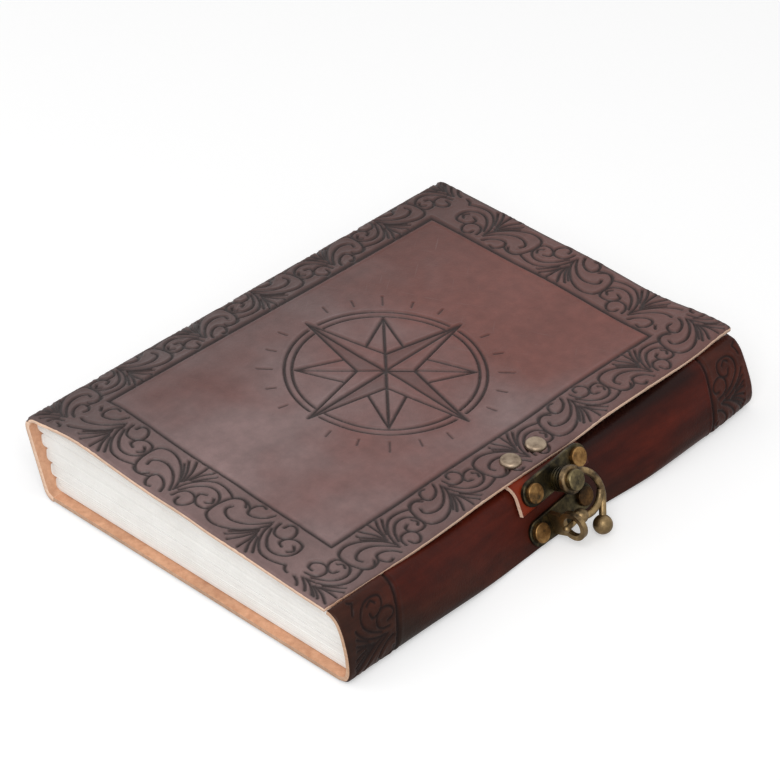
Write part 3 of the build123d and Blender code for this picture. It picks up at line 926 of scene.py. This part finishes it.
def back_hide():
    """Seam under the spine, along the back cover and up the flap to its lip."""
    ys = steps(-half_height, half_height, fine_step)
    flap = flap_profiles(ys, flap_samples)
    under_x = steps(bottom_fold[0], flap_start_x, under_step)
    under = np.stack([under_x, np.zeros_like(under_x)], 1)
    path = np.concatenate([np.repeat(under[:, None], len(ys), 1), flap])
    normal = outward(path)
    length = run_lengths(path)
    along = length - length[len(under)]
    y = np.broadcast_to(ys[None, :], along.shape)

    climbed = np.clip(along / along[-1], 0, 1)
    leaning = y - band_lean * (climbed - 0.5)
    strokes = []
    for side in (-1, 1):
        start = (0, side * frame_half)
        strokes += scroll_band(
            start, (1, 0), (0, side), scroll_pitch, end_band, [band_scroll_at]
        )
    band_end = half_height - band_margin
    strokes = clipped(strokes, (0.5, -band_end), (far_off, band_end))
    height, groove = pressed(near(strokes, along, leaning), band_groove_depth, groove_width)
    from_line = np.abs(np.abs(leaning) - frame_half)
    line_height, line_groove = pressed(from_line, band_line_depth, band_line_width)
    on_flap = smooth((along - 1.0) / 1.5)
    edge = np.minimum(half_height - np.abs(y), length[-1] - length)
    height = (height + line_height) * on_flap - flap_edge_drop * np.exp(-edge / flap_edge_fade)
    # The groove value also carries the lip's painted shadow
    groove = np.maximum(np.maximum(groove, line_groove), shaded_lip(y, along[-1] - along))
    groove = np.clip(groove, 0, groove_tone) * on_flap
    band_tone = smooth((np.abs(leaning) - frame_half) / border_fade) * on_flap
    outer = lift(path + normal * height[..., None], ys)
    inner = lift(path - normal * hide, ys)
    for side in (outer, inner):
        low = np.clip(1 - side[..., 2] / cover_edge[1], 0, 1)
        side[..., 1] -= spread_at_tail(side[..., 1]) * low
    values = {"groove": groove, "border": band_tone}
    columns = spaced(len(ys), column_stride)
    flat_rows, flap_rows = range(0, len(under), 8), range(len(under), len(path), 4)
    rows = sorted({*flat_rows, *flap_rows, len(path) - 1})
    made = sheet_part(outer, inner, rows, columns, True, values)
    return make_piece("back_hide", [made], [flap_leather, back_edge, flesh_side])


# -------- closure tab
tab_center_y = 1.6
tab_half_width = 15.0
tab_thickness = 1.7
tab_root = 10.5
tab_seat_gap = 0.1
tab_outer_radius = 5.4
tab_hem = 4.8
clasp_rise = 1.1
clasp_roll = math.radians(5.5)
flap_lean = math.radians(24.0)
curl_center = np.array([52.212, 14.944])
flap_up = np.array([-math.sin(flap_lean), math.cos(flap_lean)])
tab_step = 0.6
tab_rim_tone, tab_rim_fade = 0.5, 0.6
# Painted shadow of the cover on the tab, with some darker dye, over all but the tab's tail-side
# end
tab_shade_and_dye, tab_shade_and_dye_y, tab_shade_and_dye_run = 1.5, -11.0, 5.0


def closure_tab():
    """From under the cover, over the bend and down the slope to the hem."""
    ys = tab_center_y + steps(-tab_half_width, tab_half_width, tab_step)
    start = cover_edge - cover_up * (hide + tab_seat_gap) - cover_along * tab_root
    bend_angle = np.linspace(math.pi / 2 - cover_slope, flap_lean, 26)
    bend = curl_center + tab_outer_radius * circle(bend_angle)
    under = start + np.linspace(0, 1, 14, endpoint=False)[:, None] * (bend[0] - start)
    fall = np.linspace(0, 1, 16)[1:]
    rolled = (ys - tab_center_y) * math.tan(clasp_roll)
    hem = tab_hem / math.cos(clasp_roll) - clasp_rise - rolled
    slope = bend[-1] - fall[:, None, None] * hem[None, :, None] * flap_up
    head = np.concatenate([under, bend])
    path = np.concatenate([np.repeat(head[:, None], len(ys), 1), slope])
    normal = -outward(path)
    y = np.broadcast_to(ys[None, :] - tab_center_y, path.shape[:2])
    length = run_lengths(path)
    edge = np.minimum(tab_half_width - np.abs(y), length[-1] - length)
    height = -tab_edge_drop * np.exp(-edge / tab_edge_fade)
    outer = lift(path + normal * height[..., None], ys)
    inner = lift(path - normal * tab_thickness, ys)
    values = {
        "groove": np.clip(tab_rim_tone * np.exp(-edge / tab_rim_fade), 0, 1),
        # Painted shade and darker dye over all but the tail-side end
        "border": tab_shade_and_dye * smooth((y - tab_shade_and_dye_y) / tab_shade_and_dye_run),
    }
    made = sheet_part(outer, inner, values=values)
    return make_piece("tab_strap", [made], [tab_leather, cut_edge, flesh_side])


# -------- paper
leaf_count = 9
leaf_thickness = 0.235
leaf_reach = 115.0
leaf_trim = 0.7
leaf_short = 0.2
leaf_sway = 0.25
fold_squareness = 0.55
lip_clearance = 0.6
fore_clearance = 0.6
# The first section is pressed in under the tab
recess = 2.6
recess_start_x, recess_run_x = 35.0, 6.0
recess_half_y, recess_run_y = 21.0, 5.0
# Samples of the flap's profile, and those that climb beside the leaves' ends
leaf_flap_samples = 60
beside = slice(4, 48)
# Places along a leaf, closer toward its fore edge, and along its height, closer at the tab
leaf_spots = np.concatenate([[0.0, 0.45, 0.8], np.linspace(0.84, 1, 7)])
leaf_ys = np.concatenate([
    steps(-1, -0.27, 0.09), steps(-0.24, 0.24, 0.03), steps(0.27, 1, 0.09)
])


def paper_section(index):
    """A section's folded sheets, nested in one another, trimmed unevenly at the fore edge."""
    center = fold_center(index)
    low_slope = cover_slope * index / section_count
    high_slope = cover_slope * (index + 1) / section_count
    top = index == section_count - 1
    ys = leaf_ys
    flap = flap_profiles(ys * page_half, leaf_flap_samples)
    flap_inside = flap - outward(flap) * hide
    lip = flap_inside[-1, :, 0] - lip_clearance
    parts = []
    for leaf in range(leaf_count):
        radius = section_radius * (1 - (leaf + 0.5) / leaf_count)
        trim = seeded.uniform(0, leaf_trim)
        half = page_half - seeded.uniform(0, leaf_short)
        sway = seeded.uniform(-leaf_sway, leaf_sway, 2)
        share = radius / section_radius
        middle_slope = (low_slope + high_slope) / 2
        upper = middle_slope + (high_slope - middle_slope) * share
        lower = middle_slope + (low_slope - middle_slope) * share
        sides = []
        for sign, slope in ((1, upper), (-1, lower)):
            along = np.array([math.cos(slope), -math.sin(slope)])
            over = np.array([math.sin(slope), math.cos(slope)])
            start = center + sign * radius * over
            end_z = start[1] + along[1] * leaf_reach
            limit = np.array([
                np.interp(end_z, flap_inside[beside, k, 1], flap_inside[beside, k, 0])
                for k in range(len(ys))
            ]) - fore_clearance
            if top:
                limit = np.minimum(limit, lip)
            limit = limit - trim + sway[0] * np.sin(ys * 5 + sway[1] * 9)
            reach = (limit - start[0]) / along[0]
            run = leaf_spots[:, None] * reach[None, :]
            sides.append(start + run[..., None] * along)
        angle = np.linspace(math.pi / 2 - upper, 3 * math.pi / 2 - lower, 15)[1:-1]
        turn = circle(angle)
        turn = center + radius * np.sign(turn) * np.abs(turn) ** fold_squareness
        path = np.concatenate([sides[0][::-1], np.repeat(turn[:, None], len(ys), 1), sides[1]])
        normal = outward(path)
        outer = lift(path + normal * leaf_thickness / 2, ys * half)
        inner = lift(path - normal * leaf_thickness / 2, ys * half)
        if top:
            for side in (outer, inner):
                x, y = side[..., 0], side[..., 1]
                floor_z = center[1] - section_radius - np.tan(low_slope) * (x - center[0])
                dent = smooth((x - recess_start_x) / recess_run_x)
                dent = dent * smooth((recess_half_y - np.abs(y - tab_center_y)) / recess_run_y)
                rise = side[..., 2] - floor_z
                side[..., 2] = floor_z + rise * (1 - dent * recess / (2 * section_radius))
        outer, inner = settle(outer, False, True), settle(inner, False, True)
        parts.append(sheet_part(outer, inner, turned=True, slots=(0, 0, 0)))
    return make_piece(f"sheets_{section_count - index}", parts, [paper], 40.0)


# -------- sewing thread
thread_radius = 0.45
thread_sides = 12
ply_pitch = 2.2
stitch_draw = 1.4
stitch_inner_y = 26.0
stitch_outer_y = 68.0
stitch_corner = 1.0
stitch_step = 0.3
ply_depth = 0.2
thread_gap = 0.02
# Heights over the spine where a stitch comes out of its hole
stitch_entry = (-2.6, -0.15, 0.3)


def sewn_thread(index):
    """Two stitches of twisted thread outside the spine."""
    shift = stitch_draw * (1 - 2 * index / (section_count - 1))
    spot = fold_center(index) + spine_out * bend_outer + spine_up * shift
    parts = []
    for side in (-1, 1):
        ys = side * np.concatenate([
            [stitch_inner_y, stitch_inner_y, stitch_inner_y + stitch_step],
            steps(stitch_inner_y + stitch_corner, stitch_outer_y - stitch_corner, stitch_step),
            [stitch_outer_y - stitch_step, stitch_outer_y, stitch_outer_y],
        ])
        rise = np.full(len(ys), thread_radius + thread_gap)
        rise[:3] = stitch_entry
        rise[-3:] = stitch_entry[::-1]
        path = np.stack([
            spot[0] + spine_out[0] * rise, ys, spot[1] + spine_out[1] * rise
        ], 1)
        level = np.array([spine_up[0], 0, spine_up[1]])
        other = np.cross(directions(path), level)
        other /= np.linalg.norm(other, axis=1)[:, None]
        length = run_lengths(path)
        angle = np.linspace(0, 2 * math.pi, thread_sides, endpoint=False)
        twist = angle[None, :] - 2 * math.pi * length[:, None] / ply_pitch
        radius = thread_radius * (1 - ply_depth + ply_depth * np.cos(2 * twist))
        rings = path[:, None] + radius[..., None] * (
            np.cos(angle)[None, :, None] * level + np.sin(angle)[None, :, None] * other[:, None]
        )
        grid = np.arange(len(path) * thread_sides).reshape(len(path), thread_sides)
        around = np.roll(grid, -1, 1)
        quads = np.stack([grid[:-1], around[:-1], around[1:], grid[1:]], -1).reshape(-1, 4)
        ends = np.array([len(rings) * thread_sides, len(rings) * thread_sides + 1])
        caps = np.concatenate([
            np.stack([around[0], grid[0], np.full(thread_sides, ends[0])], -1),
            np.stack([grid[-1], around[-1], np.full(thread_sides, ends[1])], -1),
        ])
        parts.append({
            "points": settle(np.concatenate([rings.reshape(-1, 3), path[:1], path[-1:]]), False),
            "quads": quads, "triangles": caps,
            "quad_slots": np.zeros(len(quads)), "triangle_slots": np.zeros(len(caps)),
            "values": {},
        })
    return make_piece(f"thread_{section_count - index}", parts, [linen], 70.0)


# -------- pieces on their bodies
triangle_limit = 190000

front = front_hide()
decimate(front, triangle_limit)
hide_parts("front_cover", "spine_panel")
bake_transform(front)

back = back_hide()
decimate(back, triangle_limit)
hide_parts("back_cover", "fore_edge_flap")
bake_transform(back)

tab = closure_tab()
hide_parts("closure_tab")
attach(tab, "front_cover")

for index in range(section_count):
    number = section_count - index
    sheets = paper_section(index)
    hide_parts(f"section_{number}")
    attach(sheets, "first_section" if number == 1 else "book_block")
    if number > 1:
        thread = sewn_thread(index)
        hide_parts(f"sewing_thread_{number}")
        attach(thread, "book_block")

# By the start of a node's name; the longer starts come first
finishes = {
    "cover_rivet": pale_brass, "cover_burr": pale_brass,
    "upper_plate_rivet": aged_brass,
    # The lower plate's head rivet takes the darker brass as painted shadow under the hook
    "lower_plate_rivet_tail": aged_brass, "lower_plate_rivet_head": shaded_brass,
    "upper_plate": dark_brass, "lower_plate": dark_brass,
    "pivot_post": green_brass, "ridged_boss": dark_brass,
    "swing_hook": rubbed_highlit_brass, "staple_eye": rubbed_highlit_brass,
}
for name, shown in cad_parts.items():
    finish = next((f for start, f in finishes.items() if name.startswith(start)), None)
    if finish:
        shown.data.materials.clear()
        shown.data.materials.append(finish)


# -------- camera, floor and light
def aim(thing, spot, target=(0, 0, 0)):
    """An object set at a spot, looking at a target."""
    thing.location = spot
    sight = Vector(target) - Vector(spot)
    thing.rotation_euler = sight.to_track_quat("-Z", "Y").to_euler()


camera_data = bpy.data.cameras.new("camera")
camera_data.lens = 130.39
camera_data.sensor_width = 36.0
camera_data.clip_end = 20.0
camera = add_object("camera", camera_data)
aim(camera, point(465.9, -502.6, 502.9), point(-23.8, 19.34, 0))
bpy.context.scene.camera = camera

# A pale floor that the camera sees as nearly white, with its shadows
floor_half = 3.0
floor_drop = 0.0004
floor_glow = 0.36
floor_mesh = bpy.data.meshes.new("floor")
floor_mesh.from_pydata(
    [(-floor_half, -floor_half, 0), (floor_half, -floor_half, 0),
     (floor_half, floor_half, 0), (-floor_half, floor_half, 0)],
    [], [(0, 1, 2, 3)],
)
floor = add_object("floor", floor_mesh)
floor.location = (0, 0, -floor_drop)
floor_material, floor_tree, floor_shader = new_material("floor")
seen = node(floor_tree, "ShaderNodeLightPath").outputs["Is Camera Ray"]
fill(
    floor_tree, floor_shader, Base_Color=grey(0.8), Roughness=0.9, Specular_IOR_Level=0.1,
    Emission_Color=grey(1.0),
    Emission_Strength=math_node(floor_tree, "MULTIPLY", seen, floor_glow),
)
floor_mesh.materials.append(floor_material)

# A white backdrop that lights the diary at a lower level than it shows
ambient = 0.5
world = bpy.data.worlds.new("studio")
bpy.context.scene.world = world
world.use_nodes = True
world_tree = world.node_tree
rays = node(world_tree, "ShaderNodeLightPath").outputs
direct = math_node(world_tree, "MAXIMUM", rays["Is Glossy Ray"], rays["Is Transmission Ray"])
direct = math_node(world_tree, "MAXIMUM", rays["Is Camera Ray"], direct)
shown_more = math_node(world_tree, "MULTIPLY", direct, 1 - ambient)
strength = math_node(world_tree, "ADD", ambient, shown_more)
fill(world_tree, world_tree.nodes["Background"], Color=grey(1.0), Strength=strength)

for name, spot, size, power in (
    ("key", (0.6, -0.75, 0.95), 0.9, 8.4),
    ("fill", (-0.8, -0.8, 0.6), 1.2, 2.6),
):
    lamp_data = bpy.data.lights.new(name, "AREA")
    lamp_data.shape = "DISK"
    lamp_data.size = size
    lamp_data.energy = power
    aim(add_object(name, lamp_data), spot)

bpy.context.scene.view_settings.view_transform = "Standard"
